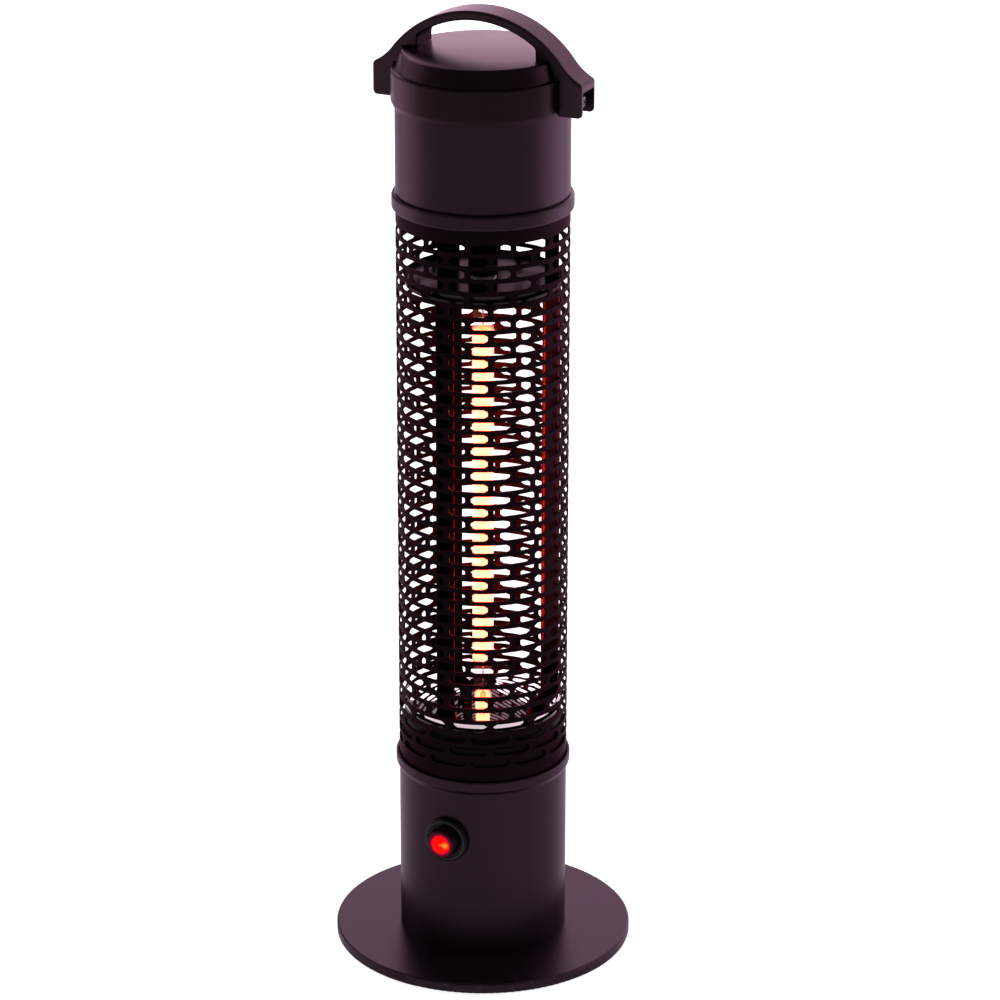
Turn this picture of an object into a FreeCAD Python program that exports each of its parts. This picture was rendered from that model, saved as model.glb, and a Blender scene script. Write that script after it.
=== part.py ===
import FreeCAD, Part
import math
import os

# Outdoor tower heater: a round steel base, a lower housing with a lit push switch, a slotted
# guard round a quartz lamp, an upper housing, a moulded cap and a carrying handle.
# Millimetres. Origin on the floor under the middle of the base, +Z up, the switch faces -Y and
# the handle runs along X.

# Clearances shared by all pieces
slip = 0.2
loose = 0.3
hole_play = 0.25
running = 0.35
overrun = 2.0
same = 0.001

# Base
plate_radius = 100.0
plate_thickness = 7.2
plate_edge = 1.2
foot_radius = 9.0
foot_height = 0.8
foot_edge = 0.3
foot_count = 4
foot_inset = 14.0
bolt_count = 4
bolt_inset = 16.1
bolt_radius = 3.0
bolt_head_radius = 5.5
bolt_head_height = 2.6
bolt_head_sink = 3.4
nut_size_share = 1.85
nut_height_share = 0.8

# Housings and guard
tube_radius = 56.3
lower_step = 0.2
housing_wall = 1.2
lower_height = 127.2
lip_wall = 1.9
lip_height = 6.6
lip_run = 2.9
lip_round = 0.8
lip_sweep = 3.5
socket_depth = 7.5
guard_wall = 1.0
guard_length = 396.1
slot_pitch = 8.46
slot_height = 5.6
slot_length = 26.0
slot_web = 3.4
slot_end_faces = 3
slot_bottom_margin = 20.7
slot_top_margin = 18.0
bead_wall = 2.3
bead_height = 10.1
bead_cover = 8.0
bead_round = 1.9
crease_depth = 0.5
crease_width = 1.0
upper_length = 78.2

# Floor of the lower housing
floor_thickness = 1.5
floor_rim = 12.0

# Top cap
skirt_wall = 2.3
skirt_height = 23.5
skirt_lap = 18.4
skirt_edge_rise = 3.4
skirt_edge_inset = 1.5
skirt_edge_round = 2.6
ledge_width = 2.9
ledge_round = 1.2
lid_height = 11.3
lid_taper = 3.9
lid_edge = 1.8
cap_wall = 2.5

# Handle
handle_width = 22.4
handle_thickness = 6.1
arch_rise = 38.5
arch_edge = 1.8
grip_edge = 1.2
shoulder_reach = 0.7
shoulder_drop = 29.3
neck_slope = math.radians(28.0)
ear_reach = 14.1
ear_corner = 3.5
ear_foot = 3.0
ear_drop = 23.1
ear_flange = 2.6
ear_roof = 3.0
ear_back = 3.0
root_inset = 17.8
root_fillet = 4.0
screw_drop = 14.5
boss_radius = 4.5
boss_length = 5.6
screw_radius = 2.0
screw_head_radius = 3.9
screw_head_height = 2.4
screw_head_edge = 0.9
screw_tail = 4.2

# Push switch
switch_share = 0.656
bezel_radius = 15.3
bezel_stand = 3.6
bezel_edge = 1.2
barrel_radius = 10.4
barrel_length = 30.0
button_travel = 2.5
button_radius = 10.3
button_taper = 0.9
button_stand = 7.6
button_skirt = 1.0
button_edge = 0.9
stem_radius = 4.0
stem_length = 18.0
stem_reserve = 1.5
lens_radius = 6.6
lens_depth = 2.4
lens_crown = 0.9
switch_nut_radius = 14.0
switch_nut_length = 5.0
spade_width = 6.3
spade_thickness = 0.8
spade_length = 9.0
spade_spacing = 9.5

# Cord gland at the back, without its cord
gland_height = 25.0
gland_bore = 3.7
gland_thread = 6.0
gland_body_size = 9.8
gland_body_length = 5.0
gland_inside = 9.0
gland_nut_radius = 8.4
gland_nut_length = 12.0
gland_nut_edge = 1.6
gland_nut_ribs = 12
gland_rib_radius = 0.9
seal_radius = 5.2
seal_length = 6.0
locknut_size = 9.0
locknut_length = 3.5

# Inner pieces on the floor
block_length_share = 0.85
block_width = 16.0
block_height = 14.0
block_bore = 2.2
block_ways = 3
block_place_share = 0.5
tilt_length = 26.0
tilt_width = 14.0
tilt_height = 24.0
tilt_edge = 1.5
tilt_place_share = -0.2

# Lamp deck, reflectors and posts
deck_rise = 23.8
deck_wall = 1.2
deck_clear = 4.0
deck_edge = 1.0
dish_gap = 3.9
dish_flat = 24.0
dish_rise = 10.0
dish_sheet = 0.8
dish_sag_share = 0.34
post_count = 3
post_radius = 5.95
post_inset = 11.8
post_angle = -8.5
stud_radius = 3.0
stud_tail = 7.0
spacer_wall = 1.4
upper_disc_gap = 5.6
upper_disc_drop = 55.8
upper_disc_sheet = 0.8
upper_disc_hole = 10.4
upper_disc_lip = 3.0
shield_rise = 2.2
shield_sheet = 1.5
shield_rim = 10.0

# Quartz lamp
quartz_radius = 7.0
quartz_wall = 1.0
lamp_cap_radius = 8.5
lamp_cap_length = 26.0
lamp_cap_socket = 12.0
lamp_cap_edge = 0.8
lit_rise = 29.7
lit_drop = 21.5
filament_radius = 2.6
lead_radius = 0.7
lamp_sink = 6.0
lamp_stand = 11.0
holder_radius = 12.0
holder_depth = 22.0
holder_stand = 3.0
holder_flange_radius = 16.0
holder_flange = 1.8
upper_holder_radius = 9.6
upper_holder_grip = 8.0

# Levels and radii that follow from the sizes above
up = FreeCAD.Vector(0, 0, 1)
origin = FreeCAD.Vector(0, 0, 0)
right = FreeCAD.Vector(1, 0, 0)
back = FreeCAD.Vector(0, 1, 0)
plate_bottom = foot_height
plate_top = plate_bottom + plate_thickness
foot_circle = plate_radius - foot_inset
lower_radius = tube_radius - lower_step
bolt_circle = lower_radius - bolt_inset
lower_bore = lower_radius - housing_wall
socket_radius = tube_radius + slip
lip_radius = socket_radius + lip_wall
lip_top = plate_top + lower_height
guard_bottom = lip_top - socket_depth
guard_top = guard_bottom + guard_length
slot_rows = int((guard_length - slot_bottom_margin - slot_top_margin) / slot_pitch) + 1
slots_per_row = int(2 * math.pi * tube_radius / (slot_length + slot_web))
bead_bottom = guard_top - bead_cover
bead_top = bead_bottom + bead_height
bead_radius = socket_radius + bead_wall
upper_bore = tube_radius - housing_wall
tube_top = guard_top + upper_length
skirt_bottom = tube_top - skirt_lap
skirt_bore = tube_radius + slip
skirt_radius = skirt_bore + skirt_wall
ledge_level = skirt_bottom + skirt_height
lid_base_radius = skirt_radius - ledge_width
lid_radius = lid_base_radius - lid_taper
lid_top = ledge_level + lid_height
arch_top = ledge_level + arch_rise
shoulder_x = skirt_radius + shoulder_reach
arch_radius = (shoulder_x ** 2 + shoulder_drop ** 2) / (2 * shoulder_drop)
arch_centre = arch_top - arch_radius
root_x = skirt_radius - root_inset
grip_radius = arch_radius - handle_thickness
ear_x = skirt_radius + ear_reach
ear_bottom = ledge_level - ear_drop
shoulder_slope = math.asin(shoulder_x / arch_radius)
shoulder_level = arch_centre + arch_radius * math.cos(shoulder_slope)
neck_x = ear_x - ear_corner * (1 - math.sin(neck_slope))
sweep_radius = (neck_x - shoulder_x) / (math.sin(shoulder_slope) - math.sin(neck_slope))
neck_level = shoulder_level - sweep_radius * (math.cos(neck_slope) - math.cos(shoulder_slope))
ear_top = neck_level - ear_corner * math.cos(neck_slope)
screw_level = ledge_level - screw_drop
ear_floor_x = skirt_radius + loose + ear_back
boss_end = ear_floor_x + boss_length
switch_level = plate_top + lower_height * switch_share
bezel_face = lower_radius + bezel_stand
gland_level = plate_top + gland_height
floor_top = plate_top + floor_thickness
block_length = bolt_circle * block_length_share
block_y = bolt_circle * block_place_share
tilt_y = bolt_circle * tilt_place_share
deck_top = lip_top + deck_rise
deck_foot = switch_level + switch_nut_radius + deck_clear
dish_radius = tube_radius - dish_gap
dish_rim = deck_top + dish_rise
post_circle = tube_radius - post_inset
upper_disc_radius = tube_radius - upper_disc_gap
disc_level = guard_top - upper_disc_drop
shield_level = guard_top + shield_rise
lamp_low = deck_top - lamp_sink
lamp_high = disc_level + lamp_stand
lit_low = dish_rim + lit_rise
lit_high = disc_level - lit_drop


def turned(points):
    """Solid of revolution about Z from (radius, level) corners."""
    corners = [FreeCAD.Vector(radius, 0, level) for radius, level in points]
    outline = Part.makePolygon(corners + corners[:1])
    return Part.Face(outline).revolve(origin, up, 360)


def rounded(solid, radius, places):
    """Fillet the circular edges that lie at the given (radius, level) places."""
    edges = []
    for edge in solid.Edges:
        if not isinstance(edge.Curve, Part.Circle):
            continue
        for place_radius, level in places:
            fits = abs(edge.Curve.Radius - place_radius) < same
            if fits and abs(edge.Curve.Center.z - level) < same:
                edges.append(edge)
    return solid.makeFillet(radius, edges)


def tube(outer, inner, bottom, top):
    """Upright tube."""
    wall = Part.makeCylinder(outer, top - bottom, up * bottom)
    return wall.cut(Part.makeCylinder(inner, top - bottom, up * bottom))


def rod(radius, start, direction, length):
    """Round bar from a point along a direction."""
    return Part.makeCylinder(radius, length, start, direction)


def around(radius, degrees, level):
    """Point on a circle, with the angle counted from the front towards +X."""
    turn = math.radians(degrees)
    return FreeCAD.Vector(radius * math.sin(turn), -radius * math.cos(turn), level)


def spread(count, circle, start, level):
    """Points evenly spaced on a circle."""
    return [around(circle, start + 360 * step / count, level) for step in range(count)]


def hexagon(size, height, centre, direction, bore):
    """Hexagonal nut or collar with a round bore; size is the corner radius."""
    corners = []
    for step in range(6):
        turn = math.radians(60 * step)
        corners.append(FreeCAD.Vector(size * math.cos(turn), size * math.sin(turn), 0))
    body = Part.Face(Part.makePolygon(corners + corners[:1])).extrude(up * height)
    body = body.cut(Part.makeCylinder(bore, height))
    body.Placement = FreeCAD.Placement(centre, FreeCAD.Rotation(up, direction))
    return body


def nut(radius, centre, direction):
    """Plain hexagon nut for a stud of the given radius."""
    return hexagon(radius * nut_size_share, radius * 2 * nut_height_share, centre, direction,
                   radius + slip)


def box(low, high):
    """Block between two corners."""
    size = high - low
    return Part.makeBox(size.x, size.y, size.z, low)


def group(solids):
    """Identical pieces that share one node."""
    return Part.makeCompound(solids)


# Base

def base_plate():
    plate = Part.makeCylinder(plate_radius, plate_thickness, up * plate_bottom)
    plate = rounded(plate, plate_edge, [(plate_radius, plate_bottom), (plate_radius, plate_top)])
    for place in spread(bolt_count, bolt_circle, 180 / bolt_count, plate_bottom):
        plate = plate.cut(rod(bolt_radius + hole_play, place, up, plate_thickness))
        plate = plate.cut(rod(bolt_head_radius + hole_play, place, up, bolt_head_sink))
    return plate


def base_feet():
    feet = []
    for place in spread(foot_count, foot_circle, 180 / foot_count, 0):
        foot = rod(foot_radius, place, up, foot_height)
        edge = [side for side in foot.Edges
                if isinstance(side.Curve, Part.Circle) and abs(side.Curve.Center.z) < same]
        feet.append(foot.makeFillet(foot_edge, edge))
    return group(feet)


def base_bolts():
    bolts = []
    head_top = plate_bottom + bolt_head_sink
    length = floor_top - head_top + bolt_radius * 2
    for place in spread(bolt_count, bolt_circle, 180 / bolt_count, head_top):
        head = rod(bolt_head_radius, place, -up, bolt_head_height)
        bolts.append(head.fuse(rod(bolt_radius, place, up, length)))
    return group(bolts)


def base_nuts():
    places = spread(bolt_count, bolt_circle, 180 / bolt_count, floor_top)
    return group([nut(bolt_radius, place, up) for place in places])


def housing_floor():
    outer = lower_bore - loose
    inner = outer - floor_thickness
    cup = turned([(0, plate_top), (outer, plate_top), (outer, plate_top + floor_rim),
                  (inner, plate_top + floor_rim), (inner, floor_top), (0, floor_top)])
    cup = rounded(cup, floor_thickness, [(outer, plate_top)])
    for place in spread(bolt_count, bolt_circle, 180 / bolt_count, plate_top):
        cup = cup.cut(rod(bolt_radius + hole_play, place, up, floor_thickness))
    return cup


# Lower housing and what is mounted in its wall

def lower_housing():
    lip_bottom = lip_top - lip_height
    sweep_bottom = lip_bottom - lip_run
    shell = turned([(lower_bore, plate_top), (lower_bore, guard_bottom),
                    (socket_radius, guard_bottom), (socket_radius, lip_top),
                    (lip_radius, lip_top), (lip_radius, lip_bottom),
                    (lower_radius, sweep_bottom), (lower_radius, plate_top)])
    shell = rounded(shell, lip_round, [(lip_radius, lip_top), (socket_radius, lip_top)])
    shell = rounded(shell, lip_sweep, [(lip_radius, lip_bottom), (lower_radius, sweep_bottom)])
    switch_hole = rod(barrel_radius + hole_play, up * switch_level, -back, lip_radius)
    gland_hole = rod(gland_thread + hole_play, up * gland_level, back, lip_radius)
    return shell.cut(switch_hole).cut(gland_hole)


def from_front(depth, level):
    """Point on the switch axis, at a distance in front of the heater's axis."""
    return FreeCAD.Vector(0, -depth, level)


def switch_bezel():
    ring = rod(bezel_radius, from_front(bezel_face, switch_level), back, bezel_face)
    edges = [side for side in ring.Edges
             if isinstance(side.Curve, Part.Circle) and abs(side.Curve.Center.y + bezel_face) < same]
    ring = ring.makeFillet(bezel_edge, edges)
    bore = rod(button_radius + running, from_front(bezel_face, switch_level), back, bezel_face)
    ring = ring.cut(bore)
    return ring.cut(Part.makeCylinder(lower_radius + same, lip_top))


def barrel_face():
    """Distance of the barrel's front from the heater's axis: behind the pressed button."""
    return bezel_face - button_skirt - button_travel - running


def switch_body():
    front = barrel_face()
    barrel = rod(barrel_radius, from_front(front, switch_level), back, barrel_length)
    depth = stem_length + button_travel + stem_reserve
    barrel = barrel.cut(rod(stem_radius + running, from_front(front, switch_level), back, depth))
    rear = barrel_length - front
    for side in (-1, 1):
        middle = side * spade_spacing / 2
        low = FreeCAD.Vector(middle - spade_thickness / 2, rear, switch_level - spade_width / 2)
        high = FreeCAD.Vector(middle + spade_thickness / 2, rear + spade_length,
                              switch_level + spade_width / 2)
        barrel = barrel.fuse(box(low, high))
    return barrel


def switch_nut():
    seat = math.sqrt(lower_bore ** 2 - switch_nut_radius ** 2) - slip
    start = from_front(seat, switch_level)
    ring = rod(switch_nut_radius, start, back, switch_nut_length)
    return ring.cut(rod(barrel_radius + slip, start, back, switch_nut_length))


def switch_button():
    rear = bezel_face - button_skirt
    length = button_skirt + button_stand
    cone = Part.makeCone(button_radius, button_radius - button_taper, length,
                         from_front(rear, switch_level), -back)
    face = rear + length
    edges = [side for side in cone.Edges
             if isinstance(side.Curve, Part.Circle) and abs(side.Curve.Center.y + face) < same]
    cone = cone.makeFillet(button_edge, edges)
    cone = cone.cut(rod(lens_radius + slip, from_front(face, switch_level), back, lens_depth))
    return cone.fuse(rod(stem_radius, from_front(rear, switch_level), back, stem_length))


def switch_lens():
    face = bezel_face + button_stand
    pane = rod(lens_radius, from_front(face - lens_depth, switch_level), -back, lens_depth)
    ball = (lens_radius ** 2 + lens_crown ** 2) / (2 * lens_crown)
    crown = Part.makeSphere(ball, from_front(face + lens_crown - ball, switch_level))
    cap = rod(lens_radius, from_front(face, switch_level), -back, lens_crown)
    return pane.fuse(crown.common(cap))


def gland_seat():
    """Distance of the gland's flat back from the axis, at the round wall's crest."""
    return lower_radius + slip


def at_back(depth):
    """Point on the gland's axis."""
    return FreeCAD.Vector(0, depth, gland_level)


def cable_gland():
    seat = gland_seat()
    collar = hexagon(gland_body_size, gland_body_length, at_back(seat), back, gland_bore)
    thread = rod(gland_thread, at_back(seat - gland_inside), back, gland_inside)
    return collar.fuse(thread.cut(rod(gland_bore, at_back(seat - gland_inside), back, gland_inside)))


def gland_nut():
    start = gland_seat() + gland_body_length
    dome = rod(gland_nut_radius, at_back(start), back, gland_nut_length)
    rim = [side for side in dome.Edges if isinstance(side.Curve, Part.Circle)
           and abs(side.Curve.Center.y - start - gland_nut_length) < same]
    dome = dome.makeFillet(gland_nut_edge, rim)
    for step in range(gland_nut_ribs):
        turn = 2 * math.pi * step / gland_nut_ribs
        spot = FreeCAD.Vector(gland_nut_radius * math.cos(turn), start,
                              gland_level + gland_nut_radius * math.sin(turn))
        dome = dome.cut(rod(gland_rib_radius, spot, back, gland_nut_length / 2))
    dome = dome.cut(rod(gland_bore, at_back(start), back, gland_nut_length))
    return dome.cut(rod(seal_radius + slip, at_back(start), back, seal_length))


def gland_seal():
    start = gland_seat() + gland_body_length
    ring = rod(seal_radius, at_back(start), back, seal_length)
    return ring.cut(rod(gland_bore, at_back(start), back, seal_length))


def gland_locknut():
    hole = math.sqrt(lower_bore ** 2 - locknut_size ** 2) - slip
    return hexagon(locknut_size, locknut_length, at_back(hole), -back, gland_thread + slip)


# Pieces on the floor of the lower housing

def terminal_block():
    low = FreeCAD.Vector(-block_length / 2, block_y - block_width / 2, floor_top)
    block = box(low, low + FreeCAD.Vector(block_length, block_width, block_height))
    for way in range(block_ways):
        x = low.x + block_length * (way + 0.5) / block_ways
        mouth = FreeCAD.Vector(x, low.y, floor_top + block_height / 2)
        block = block.cut(rod(block_bore, mouth, back, block_width))
        top = FreeCAD.Vector(x, block_y, floor_top + block_height)
        block = block.cut(rod(block_bore, top, -up, block_height / 2))
    return block


def tilt_switch():
    low = FreeCAD.Vector(-tilt_length / 2, tilt_y - tilt_width / 2, floor_top)
    case = box(low, low + FreeCAD.Vector(tilt_length, tilt_width, tilt_height))
    upright = [side for side in case.Edges if abs(side.tangentAt(side.FirstParameter).z) > 1 - same]
    return case.makeFillet(tilt_edge, upright)


# Lamp deck, reflectors and posts

def lower_deck():
    outer = lower_bore - loose
    inner = outer - deck_wall
    deck = turned([(holder_radius + hole_play, deck_top), (outer, deck_top),
                   (outer, deck_foot), (inner, deck_foot),
                   (inner, deck_top - deck_wall), (holder_radius + hole_play, deck_top - deck_wall)])
    deck = rounded(deck, deck_edge, [(outer, deck_top)])
    for place in spread(post_count, post_circle, post_angle, deck_top):
        deck = deck.cut(rod(stud_radius + hole_play, place, -up, deck_wall))
    return deck


def lower_reflector():
    hole = holder_flange_radius + loose
    sag = dish_rise * dish_sag_share
    span = (dish_flat + dish_radius) / 2

    def corner(radius, level):
        return FreeCAD.Vector(radius, 0, level)

    under = deck_top
    upper = deck_top + dish_sheet
    edges = [
        Part.LineSegment(corner(hole, under), corner(dish_flat, under)),
        Part.Arc(corner(dish_flat, under), corner(span, under + sag),
                 corner(dish_radius, dish_rim - dish_sheet)),
        Part.LineSegment(corner(dish_radius, dish_rim - dish_sheet), corner(dish_radius, dish_rim)),
        Part.Arc(corner(dish_radius, dish_rim), corner(span, upper + sag), corner(dish_flat, upper)),
        Part.LineSegment(corner(dish_flat, upper), corner(hole, upper)),
        Part.LineSegment(corner(hole, upper), corner(hole, under)),
    ]
    dish = Part.Face(Part.Wire([edge.toShape() for edge in edges])).revolve(origin, up, 360)
    for place in spread(post_count, post_circle, post_angle, deck_top):
        dish = dish.cut(rod(post_radius + loose, place, up, dish_rise))
    return dish


def support_posts():
    posts = []
    for place in spread(post_count, post_circle, post_angle, deck_top):
        bar = rod(post_radius, place, up, disc_level - deck_top)
        low = deck_top - deck_wall - stud_tail
        stud_base = FreeCAD.Vector(place.x, place.y, low)
        stud = rod(stud_radius, stud_base, up, shield_level + shield_sheet + stud_tail - low)
        posts.append(bar.fuse(stud))
    return posts


def post_spacers():
    start = disc_level + upper_disc_sheet
    spacers = []
    for place in spread(post_count, post_circle, post_angle, start):
        bore = stud_radius + slip
        sleeve = rod(bore + spacer_wall, place, up, shield_level - start)
        spacers.append(sleeve.cut(rod(bore, place, up, shield_level - start)))
    return group(spacers)


def post_nuts():
    under = deck_top - deck_wall
    over = shield_level + shield_sheet
    lower = [nut(stud_radius, place, -up)
             for place in spread(post_count, post_circle, post_angle, under)]
    upper = [nut(stud_radius, place, up)
             for place in spread(post_count, post_circle, post_angle, over)]
    return group(lower + upper)


def upper_reflector():
    disc = turned([(upper_disc_hole, disc_level), (upper_disc_radius, disc_level),
                   (upper_disc_radius, disc_level + upper_disc_lip),
                   (upper_disc_radius - upper_disc_sheet, disc_level + upper_disc_lip),
                   (upper_disc_radius - upper_disc_sheet, disc_level + upper_disc_sheet),
                   (upper_disc_hole, disc_level + upper_disc_sheet)])
    for place in spread(post_count, post_circle, post_angle, disc_level):
        disc = disc.cut(rod(stud_radius + hole_play, place, up, upper_disc_sheet))
    return disc


def heat_shield():
    outer = upper_bore - loose
    inner = outer - shield_sheet
    floor = shield_level + shield_sheet
    cup = turned([(0, shield_level), (outer, shield_level), (outer, shield_level + shield_rim),
                  (inner, shield_level + shield_rim), (inner, floor), (0, floor)])
    cup = cup.cut(rod(stud_radius + hole_play, up * shield_level, up, shield_sheet))
    for place in spread(post_count, post_circle, post_angle, shield_level):
        cup = cup.cut(rod(stud_radius + hole_play, place, up, shield_sheet))
    return cup


# Guard: rows of long slots with blunt round ends, each row turned half a pitch from the next

def slot_cutter(degrees):
    """One slot: straight sides and ends of a few flat faces that follow a half circle."""
    half = slot_height / 2
    straight = slot_length / 2 - half
    start = tube_radius - guard_wall - overrun
    outline = []
    for side in (1, -1):
        for step in range(slot_end_faces + 1):
            turn = math.pi * (step / slot_end_faces - 0.5)
            across = side * (straight + half * math.cos(turn))
            outline.append(FreeCAD.Vector(start, across, side * half * math.sin(turn)))
    face = Part.Face(Part.makePolygon(outline + outline[:1]))
    cutter = face.extrude(right * (guard_wall + overrun * 2))
    cutter.rotate(origin, up, degrees)
    return cutter


def guard():
    inner = tube_radius - guard_wall
    step = 360 / slots_per_row
    band = tube(tube_radius, inner, -slot_pitch / 2, slot_pitch / 2)
    band = band.cut([slot_cutter(step * place) for place in range(slots_per_row)])
    first = guard_bottom + slot_bottom_margin
    rows = []
    for row in range(slot_rows):
        copy = band.copy()
        copy.rotate(origin, up, step / 2 * ((slot_rows - 1 - row) % 2))
        copy.translate(up * (first + slot_pitch * row))
        rows.append(copy)
    slots_bottom = first - slot_pitch / 2
    slots_top = slots_bottom + slot_pitch * slot_rows
    rows.append(tube(tube_radius, inner, guard_bottom, slots_bottom))
    rows.append(tube(tube_radius, inner, slots_top, guard_top))
    return rows[0].multiFuse(rows[1:]).Solids[0]


# Quartz lamp

def lamp_socket_low():
    return lamp_low + lamp_cap_length - lamp_cap_socket


def lamp_socket_high():
    return lamp_high - lamp_cap_length + lamp_cap_socket


def lamp_tube():
    return tube(quartz_radius, quartz_radius - quartz_wall, lamp_socket_low(), lamp_socket_high())


def lamp_filament():
    coil = rod(filament_radius, up * lit_low, up, lit_high - lit_low)
    leads = rod(lead_radius, up * lamp_socket_low(), up, lamp_socket_high() - lamp_socket_low())
    return coil.fuse(leads)


def lamp_cap_lower():
    cap = Part.makeCylinder(lamp_cap_radius, lamp_cap_length, up * lamp_low)
    cap = rounded(cap, lamp_cap_edge, [(lamp_cap_radius, lamp_low + lamp_cap_length)])
    return cap.cut(rod(quartz_radius + slip, up * lamp_socket_low(), up, lamp_cap_socket))


def lamp_cap_upper():
    cap = Part.makeCylinder(lamp_cap_radius, lamp_cap_length, up * (lamp_high - lamp_cap_length))
    cap = rounded(cap, lamp_cap_edge, [(lamp_cap_radius, lamp_high - lamp_cap_length)])
    return cap.cut(rod(quartz_radius + slip, up * lamp_socket_high(), -up, lamp_cap_socket))


def lamp_holder_lower():
    rim = deck_top + holder_flange + holder_stand
    body = rod(holder_radius, up * (deck_top - holder_depth), up, rim - deck_top + holder_depth)
    body = body.fuse(rod(holder_flange_radius, up * deck_top, up, holder_flange))
    return body.cut(rod(lamp_cap_radius + slip, up * lamp_low, up, rim - lamp_low))


def lamp_holder_upper():
    body = rod(upper_holder_radius, up * (lamp_high - upper_holder_grip), up,
               shield_level - lamp_high + upper_holder_grip)
    body = body.cut(rod(lamp_cap_radius + slip, up * lamp_high, -up, upper_holder_grip))
    return body.fuse(rod(stud_radius, up * shield_level, up, shield_sheet + stud_tail))


def holder_nut():
    return nut(stud_radius, up * (shield_level + shield_sheet), up)


# Upper housing and cap

def side_screw_holes(solid):
    """Drill a shell for the two handle screws."""
    for side in (-1, 1):
        solid = solid.cut(rod(screw_radius + hole_play, up * screw_level, right * side, ear_x))
    return solid


def upper_housing():
    crease = tube_radius - crease_depth
    crease_top = bead_top + crease_width
    shell = turned([(upper_bore, guard_top), (socket_radius, guard_top), (socket_radius, bead_bottom),
                    (bead_radius, bead_bottom), (bead_radius, bead_top), (crease, bead_top),
                    (crease, crease_top - crease_depth), (tube_radius, crease_top),
                    (tube_radius, tube_top), (upper_bore, tube_top)])
    shell = rounded(shell, bead_round, [(bead_radius, bead_bottom), (bead_radius, bead_top)])
    return side_screw_holes(shell)


def cap_outline(gap):
    """Outer corners of the cap from its lower edge to the middle of the lid, grown by a gap."""
    return [(skirt_radius - skirt_edge_inset + gap, skirt_bottom - gap),
            (skirt_radius + gap, skirt_bottom + skirt_edge_rise),
            (skirt_radius + gap, ledge_level + gap), (lid_base_radius + gap, ledge_level + gap),
            (lid_radius + gap, lid_top + gap), (0, lid_top + gap)]


def top_cap():
    roof = lid_top - cap_wall
    shell_radius = lid_base_radius - cap_wall
    shell = turned(cap_outline(0) + [
        (0, roof), (lid_radius - cap_wall, roof), (shell_radius, ledge_level - cap_wall),
        (shell_radius, tube_top), (skirt_bore, tube_top), (skirt_bore, skirt_bottom)])
    shell = rounded(shell, skirt_edge_round, [(skirt_radius, skirt_bottom + skirt_edge_rise)])
    shell = rounded(shell, ledge_round, [(skirt_radius, ledge_level), (lid_base_radius, ledge_level)])
    shell = rounded(shell, lid_edge, [(lid_radius, lid_top)])
    return side_screw_holes(shell)


# Handle: an arched strap whose ends drop over the cap and turn into hollow ears

def handle_profile():
    """Side view of the strap and its two legs, before the cap's shape is taken out."""
    front = -handle_width / 2

    def spot(hand, x, level):
        return FreeCAD.Vector(hand * x, front, level)

    grip_level = arch_centre + math.sqrt(grip_radius ** 2 - root_x ** 2)
    half_way = (shoulder_slope + neck_slope) / 2
    sweep_x = shoulder_x + sweep_radius * (math.sin(shoulder_slope) - math.sin(half_way))
    sweep_level = shoulder_level - sweep_radius * (math.cos(half_way) - math.cos(shoulder_slope))
    bend = (math.pi / 2 - neck_slope) / 2
    bend_x = ear_x - ear_corner * (1 - math.cos(bend))
    bend_level = ear_top + ear_corner * math.sin(bend)
    foot_x = ear_x - ear_foot
    foot_level = ear_bottom + ear_foot
    foot_bend = ear_foot * math.cos(math.pi / 4)
    edges = [Part.Arc(spot(1, shoulder_x, shoulder_level), spot(1, 0, arch_top),
                      spot(-1, shoulder_x, shoulder_level)),
             Part.Arc(spot(1, root_x, grip_level), spot(1, 0, arch_top - handle_thickness),
                      spot(-1, root_x, grip_level))]
    for hand in (1, -1):
        edges += [
            Part.Arc(spot(hand, shoulder_x, shoulder_level), spot(hand, sweep_x, sweep_level),
                     spot(hand, neck_x, neck_level)),
            Part.Arc(spot(hand, neck_x, neck_level), spot(hand, bend_x, bend_level),
                     spot(hand, ear_x, ear_top)),
            Part.LineSegment(spot(hand, ear_x, ear_top), spot(hand, ear_x, foot_level)),
            Part.Arc(spot(hand, ear_x, foot_level), spot(hand, foot_x + foot_bend, foot_level - foot_bend),
                     spot(hand, foot_x, ear_bottom)),
            Part.LineSegment(spot(hand, foot_x, ear_bottom), spot(hand, root_x, ear_bottom)),
            Part.LineSegment(spot(hand, root_x, ear_bottom), spot(hand, root_x, grip_level)),
        ]
    outline = Part.__sortEdges__([edge.toShape() for edge in edges])
    return Part.Face(Part.Wire(outline))


def side_edges(strap, inner):
    """Edges of the two flat sides: round the finger gap, or along the outside."""
    found = []
    for edge in strap.Edges:
        span = edge.BoundBox
        on_side = span.YLength < same and abs(abs(span.YMin) - handle_width / 2) < same
        at_gap = max(abs(span.XMin), abs(span.XMax)) < root_x + same
        if on_side and at_gap == inner and span.ZMax > ear_bottom + same:
            found.append(edge)
    return found


def handle():
    strap = handle_profile().extrude(back * handle_width)
    corners = []
    for edge in strap.Edges:
        span = edge.BoundBox
        crosses = abs(span.YLength - handle_width) < same
        at_root = abs(max(abs(span.XMin), abs(span.XMax)) - root_x) < same
        if crosses and at_root and span.ZMin > ear_bottom + same:
            corners.append(edge)
    strap = strap.makeFillet(root_fillet, corners)
    strap = strap.makeFillet(arch_edge, side_edges(strap, False))
    strap = strap.makeFillet(grip_edge, side_edges(strap, True))
    low = ear_bottom - overrun
    rim = skirt_radius - skirt_edge_inset + loose
    strap = strap.cut(turned(cap_outline(loose) + [(0, low), (rim, low)]))
    for hand in (-1, 1):
        strap = ear_hollow(strap, hand)
    return strap


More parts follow.
